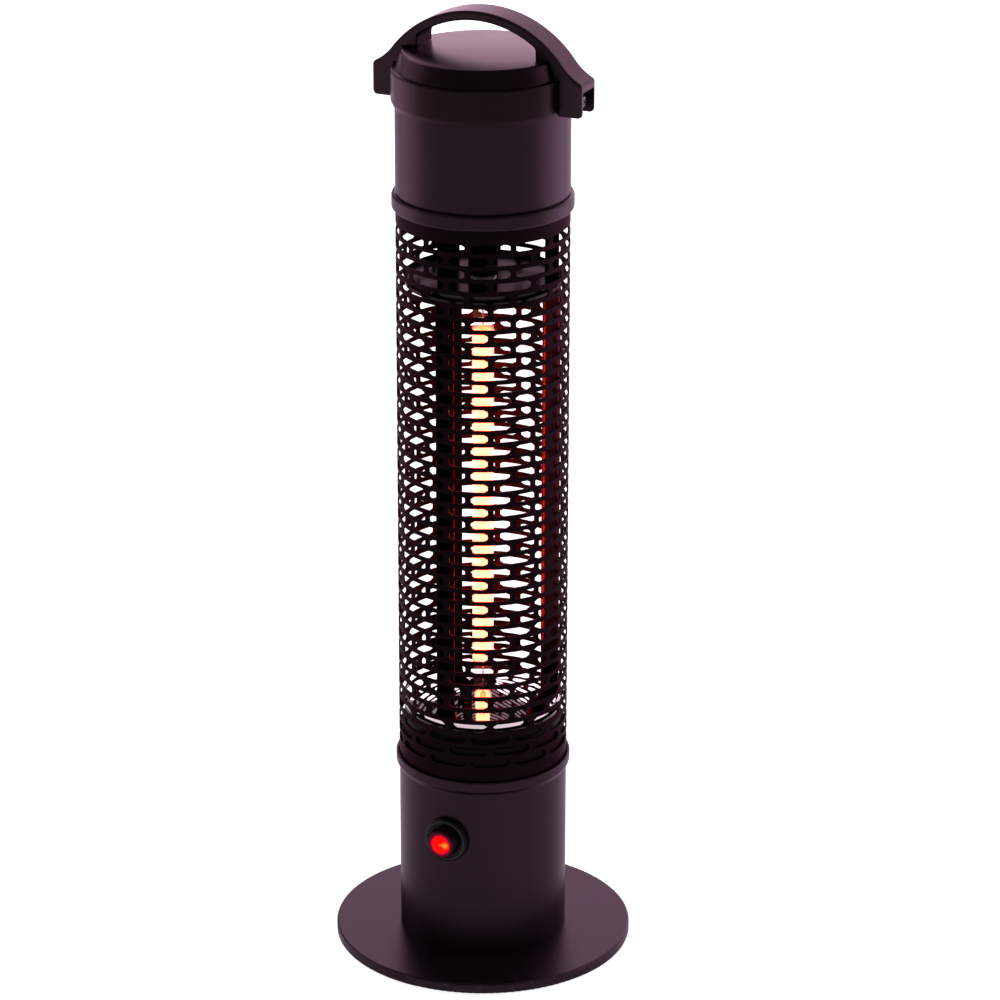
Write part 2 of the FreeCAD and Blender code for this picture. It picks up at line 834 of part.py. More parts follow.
def ear_hollow(strap, hand):
    """Open one ear outwards and downwards and leave a screw boss on its back wall."""
    half = handle_width / 2 - ear_flange
    low = FreeCAD.Vector(ear_floor_x, -half, ear_bottom - overrun)
    high = FreeCAD.Vector(ear_x + overrun, half, ear_top - ear_roof)
    pocket = box(low, high)
    start = FreeCAD.Vector(ear_floor_x - ear_back / 2, 0, screw_level)
    boss = rod(boss_radius, start, right, boss_length + ear_back / 2)
    if hand < 0:
        pocket = pocket.mirror(origin, right)
        boss = boss.mirror(origin, right)
    strap = strap.cut(pocket).fuse(boss)
    return strap.cut(rod(screw_radius + hole_play, up * screw_level, right * hand, ear_x))


def handle_screws():
    screws = []
    for hand in (-1, 1):
        seat = FreeCAD.Vector(hand * boss_end, 0, screw_level)
        head = rod(screw_head_radius, seat, right * hand, screw_head_height)
        face = boss_end + screw_head_height
        rim = [side for side in head.Edges if isinstance(side.Curve, Part.Circle)
               and abs(abs(side.Curve.Center.x) - face) < same]
        head = head.makeFillet(screw_head_edge, rim)
        length = boss_end - upper_bore + screw_tail
        screws.append(head.fuse(rod(screw_radius, seat, right * -hand, length)))
    return group(screws)


def handle_nuts():
    size = screw_radius * nut_size_share
    seat = math.sqrt(upper_bore ** 2 - size ** 2) - slip
    nuts = []
    for hand in (-1, 1):
        nuts.append(nut(screw_radius, FreeCAD.Vector(hand * seat, 0, screw_level), right * -hand))
    return group(nuts)


nodes = {
    "base_plate": base_plate(),
    "base_feet": base_feet(),
    "base_bolts": base_bolts(),
    "base_nuts": base_nuts(),
    "housing_floor": housing_floor(),
    "lower_housing": lower_housing(),
    "switch_bezel": switch_bezel(),
    "switch_body": switch_body(),
    "switch_nut": switch_nut(),
    "switch_button": switch_button(),
    "switch_lens": switch_lens(),
    "cable_gland": cable_gland(),
    "gland_nut": gland_nut(),
    "gland_seal": gland_seal(),
    "gland_locknut": gland_locknut(),
    "terminal_block": terminal_block(),
    "tilt_switch": tilt_switch(),
    "lower_deck": lower_deck(),
    "lower_reflector": lower_reflector(),
    "post_spacers": post_spacers(),
    "post_nuts": post_nuts(),
    "upper_reflector": upper_reflector(),
    "heat_shield": heat_shield(),
    "guard": guard(),
    "lamp_tube": lamp_tube(),
    "lamp_filament": lamp_filament(),
    "lamp_cap_lower": lamp_cap_lower(),
    "lamp_cap_upper": lamp_cap_upper(),
    "lamp_holder_lower": lamp_holder_lower(),
    "lamp_holder_upper": lamp_holder_upper(),
    "holder_nut": holder_nut(),
    "upper_housing": upper_housing(),
    "top_cap": top_cap(),
    "handle": handle(),
    "handle_screws": handle_screws(),
    "handle_nuts": handle_nuts(),
}
for number, post in enumerate(support_posts(), 1):
    nodes["support_post_%d" % number] = post

os.makedirs("parts", exist_ok=True)
for name, shape in nodes.items():
    shape.exportStep("parts/%s.step" % name)
    print(name, len(shape.Solids), shape.isValid(), round(shape.Volume))
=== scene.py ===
import math

import bmesh
import bpy
from mathutils import Matrix, Vector


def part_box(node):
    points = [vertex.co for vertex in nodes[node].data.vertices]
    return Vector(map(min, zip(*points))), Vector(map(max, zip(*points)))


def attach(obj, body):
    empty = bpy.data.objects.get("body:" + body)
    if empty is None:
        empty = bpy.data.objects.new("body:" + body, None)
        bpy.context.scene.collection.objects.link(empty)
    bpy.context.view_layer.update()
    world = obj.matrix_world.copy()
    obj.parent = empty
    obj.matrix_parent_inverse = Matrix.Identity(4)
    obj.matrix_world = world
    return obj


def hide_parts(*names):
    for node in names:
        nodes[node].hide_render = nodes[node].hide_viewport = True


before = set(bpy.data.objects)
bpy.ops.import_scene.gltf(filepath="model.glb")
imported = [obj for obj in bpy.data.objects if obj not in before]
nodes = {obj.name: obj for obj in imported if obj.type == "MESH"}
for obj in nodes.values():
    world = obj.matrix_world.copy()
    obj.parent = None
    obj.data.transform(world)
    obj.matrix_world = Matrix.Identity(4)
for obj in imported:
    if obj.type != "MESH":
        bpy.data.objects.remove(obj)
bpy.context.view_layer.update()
scene = bpy.context.scene
print("frame loaded:", len(nodes), "nodes")


# Shader wiring: a socket that does maths, and a finish that owns one material

class Wire:
    def __init__(self, finish, node, output):
        self.finish = finish
        self.node = node
        self.socket = node.outputs[output]

    def out(self, output):
        return Wire(self.finish, self.node, output)

    def maths(self, operation, first, second=0.0):
        return self.finish.node("ShaderNodeMath", {"operation": operation}, {0: first, 1: second})

    def __add__(self, other):
        return self.maths("ADD", self, other)

    def __radd__(self, other):
        return self.maths("ADD", other, self)

    def __sub__(self, other):
        return self.maths("SUBTRACT", self, other)

    def __rsub__(self, other):
        return self.maths("SUBTRACT", other, self)

    def __mul__(self, other):
        return self.maths("MULTIPLY", self, other)

    def __rmul__(self, other):
        return self.maths("MULTIPLY", other, self)

    def __truediv__(self, other):
        return self.maths("DIVIDE", self, other)

    def __pow__(self, other):
        return self.maths("POWER", self, other)

    def __abs__(self):
        return self.maths("ABSOLUTE", self)

    def sine(self):
        return self.maths("SINE", self)

    def larger(self, other):
        return self.maths("MAXIMUM", self, other)


class Finish:
    def __init__(self, name, constants):
        self.material = bpy.data.materials.new(name)
        self.material.use_nodes = True
        self.tree = self.material.node_tree
        self.shader = self.tree.nodes["Principled BSDF"]
        self.place = self.node("ShaderNodeTexCoord", {}, {}, "Object")
        for socket, value in constants.items():
            self.plug(self.shader.inputs[socket], value)

    def node(self, kind, settings, sockets, output=0):
        made = self.tree.nodes.new(kind)
        for key, value in settings.items():
            setattr(made, key, value)
        for key, value in sockets.items():
            self.plug(made.inputs[key], value)
        return Wire(self, made, output)

    def plug(self, socket, value):
        if isinstance(value, Wire):
            self.tree.links.new(value.socket, socket)
        elif socket.type == "RGBA":
            socket.default_value = (*value, 1)
        else:
            socket.default_value = value

    def feed(self, socket, value):
        self.plug(self.shader.inputs[socket], value)

    def noise(self, scale, detail=4, roughness=0.55):
        return self.node("ShaderNodeTexNoise", {}, {"Vector": self.place, "Scale": scale, "Detail": detail,
                                                    "Roughness": roughness}, "Fac")

    def cells(self, scale):
        return self.node("ShaderNodeTexVoronoi", {"feature": "F1"},
                         {"Vector": self.place, "Scale": scale}, "Distance")

    def axes(self):
        x = self.node("ShaderNodeSeparateXYZ", {}, {"Vector": self.place}, "X")
        return x, x.out("Y"), x.out("Z")

    def ramp(self, value, low, high):
        return self.node("ShaderNodeMapRange", {"interpolation_type": "SMOOTHSTEP"},
                         {"Value": value, "From Min": low, "From Max": high})

    def step(self, value, middle, soft):
        return self.ramp(value, middle - soft, middle + soft)

    def blend(self, share, first, second):
        return self.node("ShaderNodeMix", {"data_type": "RGBA"}, {0: share, 6: first, 7: second}, 2)

    def bump(self, height, distance, strength, under=None):
        sockets = {"Height": height, "Distance": distance, "Strength": strength}
        if under:
            sockets["Normal"] = under
        raised = self.node("ShaderNodeBump", {}, sockets, "Normal")
        self.feed("Normal", raised)
        return raised

    def wear(self, *names):
        for name in names:
            slots = nodes[name].data.materials
            slots.clear()
            slots.append(self.material)


def axisDistance(first, second, firstCentre=0.0, secondCentre=0.0):
    # distance from a straight axis, from two of the object's coordinates
    return ((first - firstCentre) ** 2 + (second - secondCentre) ** 2) ** 0.5


# Satin plum-black coat on the steel shells and the base disc
coat = {"deep": (0.025, 0.0148, 0.0203), "pale": (0.032, 0.0194, 0.0265), "edgeTint": (0.90, 0.78, 0.89),
        "metal": 0.85, "gloss": 0.1, "rough": 0.32, "roughSpread": 0.08, "cloud": 14.0,
        "peel": 900.0, "peelDepth": 0.00004, "peelStrength": 0.3,
        "rubbed": (0.046, 0.034, 0.039), "rimFrom": 0.0984, "rimTo": 0.0998,
        "scuff": 190.0, "scuffFrom": 0.52, "scuffTo": 0.74, "scuffRough": 0.12}


def coatFinish(name, rubbedRim):
    finish = Finish(name, {"Metallic": coat["metal"], "Specular IOR Level": coat["gloss"],
                           "Specular Tint": coat["edgeTint"]})
    cloud = finish.noise(coat["cloud"])
    colour = finish.blend(cloud, coat["deep"], coat["pale"])
    rough = coat["rough"] + coat["roughSpread"] * cloud
    if rubbedRim:
        x, y, z = finish.axes()
        rim = finish.ramp(axisDistance(x, y), coat["rimFrom"], coat["rimTo"])
        scuff = rim * finish.ramp(finish.noise(coat["scuff"]), coat["scuffFrom"], coat["scuffTo"])
        colour = finish.blend(scuff, colour, coat["rubbed"])
        rough = rough + coat["scuffRough"] * scuff
    finish.feed("Base Color", colour)
    finish.feed("Roughness", rough)
    finish.bump(finish.noise(coat["peel"], detail=2), coat["peelDepth"], coat["peelStrength"])
    return finish


coatFinish("satinCoat", False).wear("lower_housing", "upper_housing")
coatFinish("discCoat", True).wear("base_plate")

# Heat-proof black on the guard, browned on its inner face by the lamp
soot = {"deep": (0.0060, 0.0032, 0.0042), "pale": (0.0105, 0.0056, 0.0072), "edgeTint": (0.65, 0.55, 0.59),
        "rough": 0.42, "roughSpread": 0.12, "cloud": 60.0, "fine": 1400.0, "fineDepth": 0.00003,
        "fineStrength": 0.4, "browned": (0.014, 0.0046, 0.0046), "innerFace": 0.0556, "faceSoft": 0.0003}


def sootFinish(name, browned):
    finish = Finish(name, {"Metallic": 1.0, "Specular Tint": soot["edgeTint"]})
    cloud = finish.noise(soot["cloud"], detail=6)
    colour = finish.blend(cloud, soot["deep"], soot["pale"])
    if browned:
        x, y, z = finish.axes()
        inside = 1 - finish.step(axisDistance(x, y), soot["innerFace"], soot["faceSoft"])
        colour = finish.blend(inside, colour, soot["browned"])
    finish.feed("Base Color", colour)
    finish.feed("Roughness", soot["rough"] + soot["roughSpread"] * cloud)
    finish.bump(finish.noise(soot["fine"], detail=2), soot["fineDepth"], soot["fineStrength"])
    return finish


sootFinish("guardBlack", True).wear("guard")
sootFinish("deckBlack", False).wear("lower_deck", "heat_shield")

# Stove enamel on what stands round the lamp, black below the lit length; along the lit length one post is
# painted red as lamp light
enamel = {"edgeTint": (0.62, 0.48, 0.52), "roughSpread": 0.12, "cloud": 90.0, "fine": 1100.0,
          "fineDepth": 0.00002, "fineStrength": 0.35, "paintedLightLow": 0.195, "paintedLightHigh": 0.245,
          "dark": {"deep": (0.0018, 0.0009, 0.0012), "pale": (0.0028, 0.0014, 0.0018), "rough": 0.56},
          # the red look on the next line is painted lamp light on one post
          "paintedRedLight": {"deep": (0.046, 0.0075, 0.0105), "pale": (0.060, 0.0100, 0.0140), "rough": 0.26}}


def enamelFinish(name, look):
    finish = Finish(name, {"Metallic": 1.0, "Specular Tint": enamel["edgeTint"]})
    cloud = finish.noise(enamel["cloud"], detail=5)
    x, y, z = finish.axes()
    # painted light: the look's colour shows only along the lamp's lit length, plain deep black below it
    paintedLampLight = finish.ramp(z, enamel["paintedLightLow"], enamel["paintedLightHigh"])
    colour = finish.blend(cloud, look["deep"], look["pale"])
    finish.feed("Base Color", finish.blend(paintedLampLight, enamel["dark"]["deep"], colour))
    finish.feed("Roughness", look["rough"] + enamel["roughSpread"] * cloud)
    finish.bump(finish.noise(enamel["fine"], detail=2), enamel["fineDepth"], enamel["fineStrength"])
    return finish


enamelFinish("stoveEnamel", enamel["dark"]).wear("lamp_holder_upper", "post_spacers", "support_post_1",
                                                 "support_post_3")
# this post's red is painted lamp light; its enamel is the same black as the other posts
enamelFinish("enamelPaintedRedLight", enamel["paintedRedLight"]).wear("support_post_2")

# Moulded plastic of the cap and the handle: fine spark-eroded grain
mould = {"edgeTint": (0.95, 0.80, 0.88), "roughSpread": 0.08, "cloud": 30.0,
         "grain": 1900.0, "grainDepth": 0.00003, "grainStrength": 0.25, "topFrom": 0.0006, "topTo": 0.0002,
         "cap": {"deep": (0.0150, 0.0092, 0.0112), "pale": (0.0215, 0.0135, 0.0165), "rough": 0.27,
                 "crown": 0.9},
         "handle": {"deep": (0.0300, 0.0190, 0.0240), "pale": (0.0400, 0.0260, 0.0320), "rough": 0.30,
                    "crown": 0}}


def mouldFinish(name, look):
    finish = Finish(name, {"Metallic": 1.0, "Specular Tint": mould["edgeTint"]})
    cloud = finish.noise(mould["cloud"])
    finish.feed("Base Color", finish.blend(cloud, look["deep"], look["pale"]))
    finish.feed("Roughness", look["rough"] + mould["roughSpread"] * cloud)
    crowned = None
    if look["crown"]:
        # the lid's flat top falls away from its middle, so it reads as slightly domed
        x, y, z = finish.axes()
        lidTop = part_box("top_cap")[1].z
        onTop = finish.ramp(z, lidTop - mould["topFrom"], lidTop - mould["topTo"])
        crowned = finish.bump((x * x + y * y) * onTop * -look["crown"], 1.0, 1.0)
    finish.bump(finish.cells(mould["grain"]), mould["grainDepth"], mould["grainStrength"], crowned)
    return finish


mouldFinish("capPlastic", mould["cap"]).wear("top_cap")
mouldFinish("handlePlastic", mould["handle"]).wear("handle")

# Switch: smooth black plastic with turning lines, red glow painted on the button round its lens, a lit lens
lensLow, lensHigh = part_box("switch_lens")
lensMiddle = (lensLow + lensHigh) / 2
lensRadius = (lensHigh.x - lensLow.x) / 2
switchLook = {"body": {"deep": (0.0022, 0.0019, 0.0022), "pale": (0.0046, 0.0041, 0.0046), "gloss": 0.12},
              "button": {"deep": (0.0022, 0.0019, 0.0022), "pale": (0.0046, 0.0041, 0.0046), "gloss": 0.06},
              # the lip's look is a lighter copy of the bezel plastic: a painted highlight
              "lip": {"deep": (0.0300, 0.0262, 0.0300), "pale": (0.0400, 0.0350, 0.0400), "gloss": 0.14},
              "cloud": 120.0, "rough": 0.24, "roughSpread": 0.12,
              "rings": 2600.0, "ringDepth": 0.00001, "ringStrength": 0.15,
              # painted glow on the button: its colour, its unlit colour and how far it reaches
              "paintedGlow": (0.190, 0.0016, 0.0200), "unlit": (0.0015, 0.0, 0.0003), "paintedGlowTo": 1.42,
              "rimPaintedGlow": 0.5, "rimDepth": 0.0009, "rimFrom": 1.36, "rimTo": 1.50}


def switchFinish(name, look, lit=False):
    finish = Finish(name, {"Specular IOR Level": look["gloss"], "Emission Strength": 1.0 if lit else 0.0})
    x, y, z = finish.axes()
    ring = axisDistance(x, z, lensMiddle.x, lensMiddle.z)
    cloud = finish.noise(switchLook["cloud"])
    finish.feed("Base Color", finish.blend(cloud, look["deep"], look["pale"]))
    finish.feed("Roughness", switchLook["rough"] + switchLook["roughSpread"] * cloud)
    if lit:
        # painted glow: red emission on the button round the lens and along its front edge stands in for the
        # lens's light
        edge = ring / lensRadius
        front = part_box("switch_button")[0].y
        rim = finish.ramp(edge, switchLook["rimFrom"], switchLook["rimTo"]) * (
            1 - finish.ramp(y, front, front + switchLook["rimDepth"]))
        paintedGlow = (rim * switchLook["rimPaintedGlow"]).larger(1 - finish.ramp(edge, 1.0, switchLook["paintedGlowTo"]))
        finish.feed("Emission Color", finish.blend(paintedGlow, switchLook["unlit"], switchLook["paintedGlow"]))
    finish.bump((ring * switchLook["rings"]).sine(), switchLook["ringDepth"], switchLook["ringStrength"])
    return finish


switchFinish("switchPlastic", switchLook["body"]).wear("switch_bezel", "switch_body", "switch_nut",
                                                       "tilt_switch")
switchFinish("buttonPlastic", switchLook["button"], True).wear("switch_button")
# painted highlight: the raised lip wears the lighter copy of the bezel plastic
lipPaintedHighlight = switchFinish("lipPaintedHighlight", switchLook["lip"])

# Lens: places and widths on its face are shares of its radius
lensLook = {"rough": 0.30, "gloss": 0.03, "body": (0.20, 0.0005, 0.0005), "hotBody": (0.40, 0.03, 0.004),
            "red": (1.0, 0.0030, 0.0008), "rim": (0.85, 0.0010, 0.0080), "rimFrom": 0.70,
            "orange": (1.0, 0.33, 0.022), "spot": (0.55, 0.06), "spotCore": 0.04, "spotSize": 0.46,
            "streakCore": 0.02, "streak": 0.20, "streakFrom": -0.35, "streakTo": 0.85, "streakShare": 0.75,
            "ribs": 34.0, "ribDepth": 0.00003, "ribStrength": 0.2}


def lensFinish():
    finish = Finish("litLens", {"Roughness": lensLook["rough"], "Specular IOR Level": lensLook["gloss"],
                                "Emission Strength": 1.0})
    x, y, z = finish.axes()
    across = (x - lensMiddle.x) / lensRadius
    upward = (z - lensMiddle.z) / lensRadius
    spotX, spotZ = lensLook["spot"]
    near = axisDistance(across, upward, spotX, spotZ)
    edge = axisDistance(across, upward)
    spot = 1 - finish.ramp(near, lensLook["spotCore"], lensLook["spotSize"])
    streak = 1 - finish.ramp(abs(upward - spotZ), lensLook["streakCore"], lensLook["streak"])
    streak = streak * finish.ramp(across, lensLook["streakFrom"], spotX)
    streak = streak * (1 - finish.ramp(across, spotX, lensLook["streakTo"])) * lensLook["streakShare"]
    hot = spot.larger(streak)
    cool = finish.blend(finish.ramp(edge, lensLook["rimFrom"], 1.0), lensLook["red"], lensLook["rim"])
    finish.feed("Base Color", finish.blend(hot, lensLook["body"], lensLook["hotBody"]))
    finish.feed("Emission Color", finish.blend(hot, cool, lensLook["orange"]))
    finish.bump((edge * lensLook["ribs"]).sine(), lensLook["ribDepth"], lensLook["ribStrength"])
    return finish


lensFinish().wear("switch_lens")

# Reflectors: spun aluminium with turning lines, the upper one dulled by heat
spun = {"stain": 45.0, "lines": 5200.0, "lineDepth": 0.000008,
        "skirt": (0.012, 0.007, 0.009), "skirtTop": 0.1700, "skirtSoft": 0.0012, "skirtRough": 0.45,
        "cone": {"bright": (0.90, 0.84, 0.87), "dull": (0.80, 0.73, 0.77),
                 "edgeTint": (1.0, 1.0, 1.0), "rough": 0.012, "dulling": 0.02, "lineStrength": 0.012},
        "disc": {"bright": (0.032, 0.027, 0.030), "dull": (0.026, 0.021, 0.024),
                 "edgeTint": (0.52, 0.48, 0.50), "rough": 0.14, "dulling": 0.06, "lineStrength": 0.14}}


def spunFinish(name, look, skirted):
    finish = Finish(name, {"Metallic": 1.0, "Specular Tint": look["edgeTint"]})
    x, y, z = finish.axes()
    stain = finish.noise(spun["stain"], detail=6)
    colour = finish.blend(stain, look["bright"], look["dull"])
    rough = look["rough"] + look["dulling"] * stain
    if skirted:
        # the skirt below the rim is coloured near black and rougher
        below = 1 - finish.step(z, spun["skirtTop"], spun["skirtSoft"])
        colour = finish.blend(below, colour, spun["skirt"])
        rough = rough + spun["skirtRough"] * below
    finish.feed("Base Color", colour)
    finish.feed("Roughness", rough)
    finish.bump((axisDistance(x, y) * spun["lines"]).sine(), spun["lineDepth"], look["lineStrength"])
    return finish


polishedCone = spunFinish("polishedCone", spun["cone"], True)
polishedCone.wear("lower_reflector")
dulledDisc = spunFinish("dulledDisc", spun["disc"], False)
dulledDisc.wear("upper_reflector")

# Plated steel, bright or blacked
plated = {"stain": 220.0, "roughSpread": 0.18, "fine": 2400.0, "fineDepth": 0.00001, "fineStrength": 0.3,
          "zinc": {"bright": (0.66, 0.66, 0.64), "dull": (0.48, 0.48, 0.45), "rough": 0.28},
          "screw": {"bright": (0.060, 0.054, 0.058), "dull": (0.030, 0.027, 0.029), "rough": 0.10}}


def platedFinish(name, look):
    finish = Finish(name, {"Metallic": 1.0})
    stain = finish.noise(plated["stain"], detail=5)
    finish.feed("Base Color", finish.blend(stain, look["bright"], look["dull"]))
    finish.feed("Roughness", look["rough"] + plated["roughSpread"] * stain)
    finish.bump(finish.noise(plated["fine"], detail=2), plated["fineDepth"], plated["fineStrength"])
    return finish


platedFinish("zincPlate", plated["zinc"]).wear("base_bolts", "base_nuts", "housing_floor", "post_nuts",
                                               "holder_nut", "handle_nuts")
blackedScrew = platedFinish("blackedScrew", plated["screw"])
blackedScrew.wear("handle_screws")

# Nylon, rubber and ceramic
matt = {"gloss": 0.4, "roughSpread": 0.15, "finer": 12, "fineStrength": 0.5,
        "nylon": {"deep": (0.012, 0.012, 0.013), "pale": (0.024, 0.024, 0.025), "rough": 0.5,
                  "cloud": 90.0, "fineDepth": 0.00003},
        "rubber": {"deep": (0.010, 0.010, 0.010), "pale": (0.022, 0.021, 0.020), "rough": 0.72,
                   "cloud": 140.0, "fineDepth": 0.00005},
        "bare": {"deep": (0.66, 0.62, 0.60), "pale": (0.82, 0.78, 0.76), "rough": 0.6,
                 "cloud": 110.0, "fineDepth": 0.00004},
        "glazed": {"deep": (0.15, 0.14, 0.15), "pale": (0.24, 0.23, 0.25), "rough": 0.12,
                   "cloud": 150.0, "fineDepth": 0.00002}}


def mattFinish(name, look):
    finish = Finish(name, {"Specular IOR Level": matt["gloss"]})
    cloud = finish.noise(look["cloud"], detail=5)
    finish.feed("Base Color", finish.blend(cloud, look["deep"], look["pale"]))
    finish.feed("Roughness", look["rough"] + matt["roughSpread"] * cloud)
    fine = finish.noise(look["cloud"] * matt["finer"], detail=3)
    finish.bump(fine, look["fineDepth"], matt["fineStrength"])
    return finish


mattFinish("glandNylon", matt["nylon"]).wear("cable_gland", "gland_nut", "gland_locknut")
mattFinish("footRubber", matt["rubber"]).wear("base_feet", "gland_seal")
mattFinish("bareCeramic", matt["bare"]).wear("terminal_block")
mattFinish("glazedCeramic", matt["glazed"]).wear("lamp_cap_lower", "lamp_holder_lower", "lamp_cap_upper")

# Lamp: red-hot light, so bright that the lit tube itself reads as pale yellow
tubeLow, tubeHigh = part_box("lamp_tube")
coilShape = {"low": 0.1987, "high": 0.4357, "radius": 0.00215, "wire": 0.00045, "turns": 148,
             "steps": 12, "sides": 6, "leadInset": 0.0005, "leadLap": 0.001}
glow = {"fade": 0.0030, "litHigh": 0.4325, "coilHigh": 0.4360}
coilLook = {"rough": 0.5, "hot": (14.0, 0.62, 0.10), "unlit": (0.0, 0.0, 0.0),
            "lead": (0.30, 0.26, 0.24), "dullLead": (0.16, 0.13, 0.12),
            "speckle": 900.0, "speckleDepth": 0.00002, "speckleStrength": 0.3}
quartzLook = {"rough": 0.05, "gloss": 0.5, "clear": (0.50, 0.46, 0.48), "warm": (0.9, 0.6, 0.4),
              "pale": (15.0, 1.10, 0.60), "marks": (14.0, 0.58, 0.10), "cold": (0.010, 0.004, 0.006),
              "mark": 430.0, "markFrom": 0.56, "markTo": 0.70,
              "litAlpha": 0.42, "coldAlpha": 0.03, "streak": 260.0, "streakAlpha": 0.10}


def litShare(finish, top):
    # 1 along the wound part of the element, 0 towards the lamp's cold ends
    x, y, z = finish.axes()
    return finish.step(z, coilShape["low"], glow["fade"]) * (1 - finish.step(z, top, glow["fade"]))


def coilFinish():
    finish = Finish("hotCoil", {"Roughness": coilLook["rough"], "Emission Strength": 1.0})
    lit = litShare(finish, glow["coilHigh"])
    speckle = finish.noise(coilLook["speckle"], detail=3)
    finish.feed("Base Color", finish.blend(speckle, coilLook["lead"], coilLook["dullLead"]))
    finish.feed("Emission Color", finish.blend(lit, coilLook["unlit"], coilLook["hot"]))
    finish.bump(speckle, coilLook["speckleDepth"], coilLook["speckleStrength"])
    return finish


def quartzFinish():
    finish = Finish("clearQuartz", {"Roughness": quartzLook["rough"], "Emission Strength": 1.0,
                                    "Specular IOR Level": quartzLook["gloss"]})
    lit = litShare(finish, glow["litHigh"])
    streaks = finish.noise(quartzLook["streak"], detail=2)
    mottle = finish.noise(quartzLook["mark"], detail=2)
    marks = finish.ramp(mottle, quartzLook["markFrom"], quartzLook["markTo"])
    hot = finish.blend(marks, quartzLook["pale"], quartzLook["marks"])
    finish.feed("Base Color", finish.blend(lit, quartzLook["clear"], quartzLook["warm"]))
    finish.feed("Emission Color", finish.blend(lit, quartzLook["cold"], hot))
    gain = quartzLook["litAlpha"] - quartzLook["coldAlpha"] + quartzLook["streakAlpha"] * streaks
    finish.feed("Alpha", quartzLook["coldAlpha"] + gain * lit)
    return finish


hotCoil = coilFinish()
hotCoil.wear("lamp_filament")
quartzFinish().wear("lamp_tube")
print("finishes on every node")

# Pieces made here: some stand for a plain CAD node, some are thin trim beside one
mergeDistance = 0.000001


def cleanShape(shape):
    bmesh.ops.remove_doubles(shape, verts=shape.verts, dist=mergeDistance)
    bmesh.ops.recalc_face_normals(shape, faces=shape.faces)


def addPiece(name, shape, finish, body, node, sharp=None):
    cleanShape(shape)
    mesh = bpy.data.meshes.new(name)
    shape.to_mesh(mesh)
    shape.free()
    mesh.materials.append(finish.material)
    for face in mesh.polygons:
        face.use_smooth = True
    piece = bpy.data.objects.new(name, mesh)
    scene.collection.objects.link(piece)
    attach(piece, body)
    if node:
        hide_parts(node)
    if sharp:
        mesh.set_sharp_from_angle(angle=math.radians(sharp))


def addLead(shape, low, high):
    # a straight lead on the lamp's axis, closed at both ends
    ring = bmesh.ops.create_circle(shape, cap_ends=True, segments=coilShape["sides"],
                                   radius=coilShape["wire"], matrix=Matrix.Translation((0, 0, low)))["verts"]
    face = list(ring[0].link_faces)
    grown = bmesh.ops.extrude_face_region(shape, geom=face)["geom"]
    bmesh.ops.translate(shape, vec=(0, 0, high - low),
                        verts=[part for part in grown if isinstance(part, bmesh.types.BMVert)])


def makeCoil():
    shape = bmesh.new()
    rise = coilShape["high"] - coilShape["low"] - 2 * coilShape["wire"]
    steps = coilShape["turns"] * coilShape["steps"]
    start = Matrix.Translation((coilShape["radius"], 0, coilShape["low"] + coilShape["wire"]))
    turned = start @ Matrix.Rotation(math.radians(90), 4, "X")
    wire = bmesh.ops.create_circle(shape, segments=coilShape["sides"], radius=coilShape["wire"],
                                   matrix=turned)["verts"]
    loop = wire + list({edge for vert in wire for edge in vert.link_edges})
    bmesh.ops.spin(shape, geom=loop, cent=(0, 0, 0), axis=(0, 0, 1), dvec=(0, 0, rise / steps),
                   angle=math.tau * coilShape["turns"], steps=steps)
    bmesh.ops.holes_fill(shape, edges=[edge for edge in shape.edges if edge.is_boundary])
    addLead(shape, tubeLow.z + coilShape["leadInset"], coilShape["low"] + coilShape["leadLap"])
    addLead(shape, coilShape["high"] - coilShape["leadLap"], tubeHigh.z - coilShape["leadInset"])
    addPiece("woundElement", shape, hotCoil, "heater", "lamp_filament")


makeCoil()
print("wound element made")


def looseObject(name, shape):
    mesh = bpy.data.meshes.new(name)
    shape.to_mesh(mesh)
    shape.free()
    loose = bpy.data.objects.new(name, mesh)
    scene.collection.objects.link(loose)
    return loose


def cutShape(shape, tool):
    # one closed shape less another, by a Boolean that is applied at once
    blank = looseObject("blank", shape)
    cutter = looseObject("cutter", tool)
    cut = blank.modifiers.new("cut", "BOOLEAN")
    cut.object = cutter
    cut.use_self = True
    bpy.context.view_layer.update()
    finished = bmesh.new()
    finished.from_object(blank, bpy.context.evaluated_depsgraph_get())
    for loose in (blank, cutter):
        bpy.data.objects.remove(loose)
    return finished


# Handle screws: rounded heads with cross recesses
screwShape = {"tail": 0.0511, "seat": 0.0677, "face": 0.0701, "shank": 0.0020, "head": 0.0039,
              "level": 0.5926, "round": 0.0010, "roundSteps": 5, "sides": 40, "sharp": 35,
              "recessLong": 0.0046, "recessWide": 0.0009, "recessDeep": 0.0013, "recessTurns": (45, 135)}


def turnedScrew(shape, hand):
    # half section of shank and head, spun round the screw's own axis
    section = [("tail", 0.0), ("tail", screwShape["shank"]), ("seat", screwShape["shank"]),
               ("seat", screwShape["head"]), ("face", screwShape["head"]), ("face", 0.0)]
    level = screwShape["level"]
    line = [shape.verts.new((hand * screwShape[place], 0, level + radius)) for place, radius in section]
    for pair in zip(line, line[1:]):
        shape.edges.new(pair)
    bmesh.ops.bevel(shape, geom=[line[4]], offset=screwShape["round"], segments=screwShape["roundSteps"],
                    profile=0.5, affect="VERTICES", material=-1)
    profile = [edge for edge in shape.edges if edge.is_wire]
    points = {vert for edge in profile for vert in edge.verts}
    bmesh.ops.spin(shape, geom=list(points) + profile, cent=(0, 0, level), axis=(1, 0, 0),
                   angle=math.tau, steps=screwShape["sides"], use_merge=True)
    cleanShape(shape)


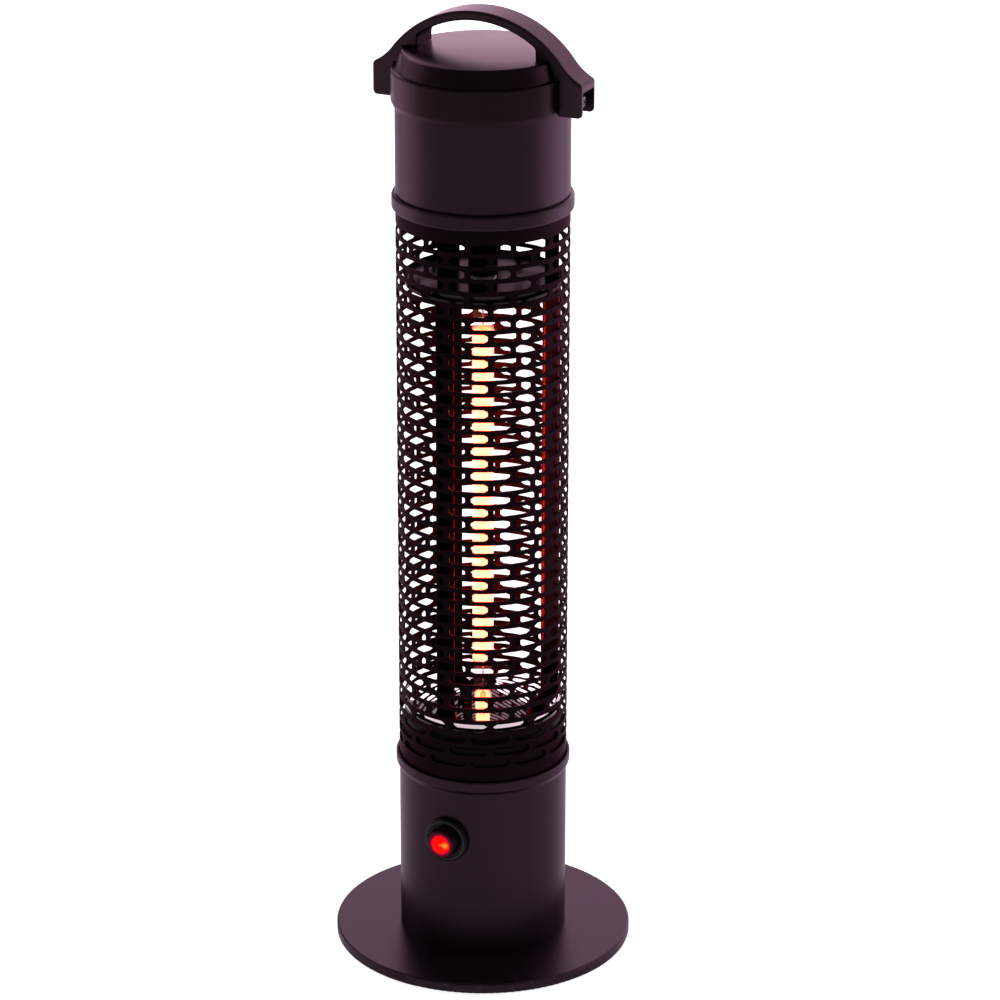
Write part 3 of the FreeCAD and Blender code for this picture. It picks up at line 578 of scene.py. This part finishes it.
def makeScrews():
    screws = bmesh.new()
    recess = bmesh.new()
    size = (2 * screwShape["recessDeep"], screwShape["recessLong"], screwShape["recessWide"])
    for hand in (-1, 1):
        turnedScrew(screws, hand)
        middle = Matrix.Translation((hand * screwShape["face"], 0, screwShape["level"]))
        for turn in screwShape["recessTurns"]:
            bar = bmesh.ops.create_cube(recess, size=1.0)["verts"]
            bmesh.ops.scale(recess, verts=bar, vec=size)
            tilt = Matrix.Rotation(math.radians(turn), 4, "X")
            bmesh.ops.transform(recess, verts=bar, matrix=middle @ tilt)
    addPiece("crossScrews", cutShape(screws, recess), blackedScrew, "heater", "handle_screws",
             screwShape["sharp"])


makeScrews()
print("handle screws made")


def spunShape(section, rounded, look, centre, axis):
    # a closed section, some of its corners rounded, spun once round an axis
    shape = bmesh.new()
    corners = [shape.verts.new(point) for point in section]
    for pair in zip(corners, corners[1:] + corners[:1]):
        shape.edges.new(pair)
    bmesh.ops.bevel(shape, geom=[corners[number] for number in rounded], offset=look["round"],
                    segments=look["roundSteps"], profile=0.5, affect="VERTICES", material=-1)
    bmesh.ops.spin(shape, geom=list(shape.verts) + list(shape.edges), cent=centre, axis=axis,
                   angle=math.tau, steps=look["sides"], use_merge=True)
    cleanShape(shape)
    return shape


# Lower reflector: a shallow polished cone on a short skirt that stands on the deck
coneShape = {"hole": 0.0092, "peak": 0.1835, "rim": 0.0523, "rimLevel": 0.1760, "foot": 0.1590,
             "sheet": 0.0008, "round": 0.0012, "roundSteps": 4, "sides": 96, "sharp": 30,
             "posts": ("support_post_1", "support_post_2", "support_post_3"),
             "postRoom": 0.0062, "postSides": 32, "postReach": 0.04}


def makeCone():
    slope = (coneShape["peak"] - coneShape["rimLevel"]) / (coneShape["rim"] - coneShape["hole"])
    inner = coneShape["rim"] - coneShape["sheet"]
    section = [(coneShape["hole"], 0, coneShape["peak"]), (coneShape["rim"], 0, coneShape["rimLevel"]),
               (coneShape["rim"], 0, coneShape["foot"]), (inner, 0, coneShape["foot"]),
               (inner, 0, coneShape["rimLevel"] + slope * coneShape["sheet"] - coneShape["sheet"]),
               (coneShape["hole"], 0, coneShape["peak"] - coneShape["sheet"])]
    sheet = spunShape(section, (1,), coneShape, (0, 0, 0), (0, 0, 1))
    posts = bmesh.new()
    for name in coneShape["posts"]:
        low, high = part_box(name)
        middle = Matrix.Translation(((low.x + high.x) / 2, (low.y + high.y) / 2, coneShape["rimLevel"]))
        bmesh.ops.create_cone(posts, cap_ends=True, segments=coneShape["postSides"], matrix=middle,
                              radius1=coneShape["postRoom"], radius2=coneShape["postRoom"],
                              depth=coneShape["postReach"])
    addPiece("coneReflector", cutShape(sheet, posts), polishedCone, "heater", "lower_reflector",
             coneShape["sharp"])


makeCone()
print("lower reflector made")

# Low raised lip round the face of the switch's bezel, coloured as a painted highlight
lipShape = {"middle": 0.01325, "half": 0.00080, "topHalf": 0.00045, "rise": 0.0006, "sunk": 0.0003,
            "round": 0.0002, "roundSteps": 3, "sides": 96, "sharp": 30}


def makeLip():
    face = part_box("switch_bezel")[0].y
    half, topHalf = lipShape["half"], lipShape["topHalf"]
    foot, top = face + lipShape["sunk"], face - lipShape["rise"]
    middle = lensMiddle.x + lipShape["middle"]
    section = [(middle + offset, depth, lensMiddle.z) for offset, depth in
               ((-half, foot), (-topHalf, top), (topHalf, top), (half, foot))]
    lip = spunShape(section, (1, 2), lipShape, (lensMiddle.x, 0, lensMiddle.z), (0, 1, 0))
    addPiece("bezelLip", lip, lipPaintedHighlight, "heater", None, lipShape["sharp"])


makeLip()
print("bezel lip made")

# Turned-down rim under the upper reflector
rimShape = {"drop": 0.0030, "sheet": 0.0008, "round": 0.0003, "roundSteps": 3, "sides": 96, "sharp": 30}


def makeRim():
    low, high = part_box("upper_reflector")
    outer, bottom = (high.x - low.x) / 2, low.z - rimShape["drop"]
    inner = outer - rimShape["sheet"]
    section = [(inner, 0, low.z), (inner, 0, bottom), (outer, 0, bottom), (outer, 0, low.z)]
    rim = spunShape(section, (1, 2), rimShape, (0, 0, 0), (0, 0, 1))
    addPiece("discRim", rim, dulledDisc, "heater", None, rimShape["sharp"])


makeRim()
print("upper reflector's rim made")

# Stage: a plain white floor, bright to the camera and calmer in reflections
stageLook = {"reach": 12.0, "white": (0.93, 0.93, 0.93), "rough": 0.9, "gloss": 0.1,
             "seen": (0.86, 0.86, 0.86), "mirrored": (0.38, 0.38, 0.38)}


def makeFloor():
    shape = bmesh.new()
    bmesh.ops.create_grid(shape, x_segments=1, y_segments=1, size=stageLook["reach"])
    floor = looseObject("floor", shape)
    finish = Finish("paleFloor", {"Base Color": stageLook["white"], "Roughness": stageLook["rough"],
                                  "Specular IOR Level": stageLook["gloss"], "Emission Strength": 1.0})
    seen = finish.node("ShaderNodeLightPath", {}, {}, "Is Camera Ray")
    finish.feed("Emission Color", finish.blend(seen, stageLook["mirrored"], stageLook["seen"]))
    floor.data.materials.append(finish.material)


# Soft studio light: a wide panel behind, tall ones at both sides, a dim room
studio = {"room": (0.26, 0.205, 0.235), "aim": (0.0, 0.0), "panels": {
    "panelBack": {"place": (-0.55, 2.90, 1.30), "size": (3.6, 2.6), "glow": 1.80,
                  "tint": (1.0, 0.84, 0.92)},
    "panelLeft": {"place": (-0.95, -0.12, 0.58), "size": (0.7, 1.15), "glow": 1.25,
                  "tint": (1.0, 0.80, 0.92)},
    "panelRight": {"place": (0.78, 0.66, 0.65), "size": (0.9, 1.3), "glow": 1.7,
                   "tint": (1.0, 0.78, 0.98)}}}


def makeLights():
    world = bpy.data.worlds.new("room")
    world.use_nodes = True
    world.node_tree.nodes["Background"].inputs["Color"].default_value = (*studio["room"], 1)
    scene.world = world
    for name, panel in studio["panels"].items():
        light = bpy.data.lights.new(name, "AREA")
        light.shape = "RECTANGLE"
        light.size, light.size_y = panel["size"]
        light.energy = math.pi * light.size * light.size_y * panel["glow"]
        light.color = panel["tint"]
        lamp = bpy.data.objects.new(name, light)
        lamp.location = panel["place"]
        aim = Vector((*studio["aim"], panel["place"][2])) - Vector(panel["place"])
        lamp.rotation_euler = aim.to_track_quat("-Z", "Y").to_euler()
        lamp.visible_camera = False
        scene.collection.objects.link(lamp)


# Camera at the photograph's viewing angle, from the fit of its ellipses
view = {"turn": 25.0, "pitch": 21.014, "reach": 2.464, "height": 1.2603, "lens": 144.2,
        "sensor": 36.0, "shift": 0.017, "far": 50.0}


def makeCamera():
    data = bpy.data.cameras.new("camera")
    data.lens = view["lens"]
    data.sensor_width = view["sensor"]
    data.shift_x = view["shift"]
    data.clip_end = view["far"]
    camera = bpy.data.objects.new("camera", data)
    turn = math.radians(view["turn"])
    camera.location = (view["reach"] * math.sin(turn), -view["reach"] * math.cos(turn), view["height"])
    camera.rotation_euler = (math.radians(90 - view["pitch"]), 0, turn)
    scene.collection.objects.link(camera)
    scene.camera = camera


makeFloor()
makeLights()
makeCamera()
scene.view_settings.view_transform = "Standard"
print("stage, lights and camera set")
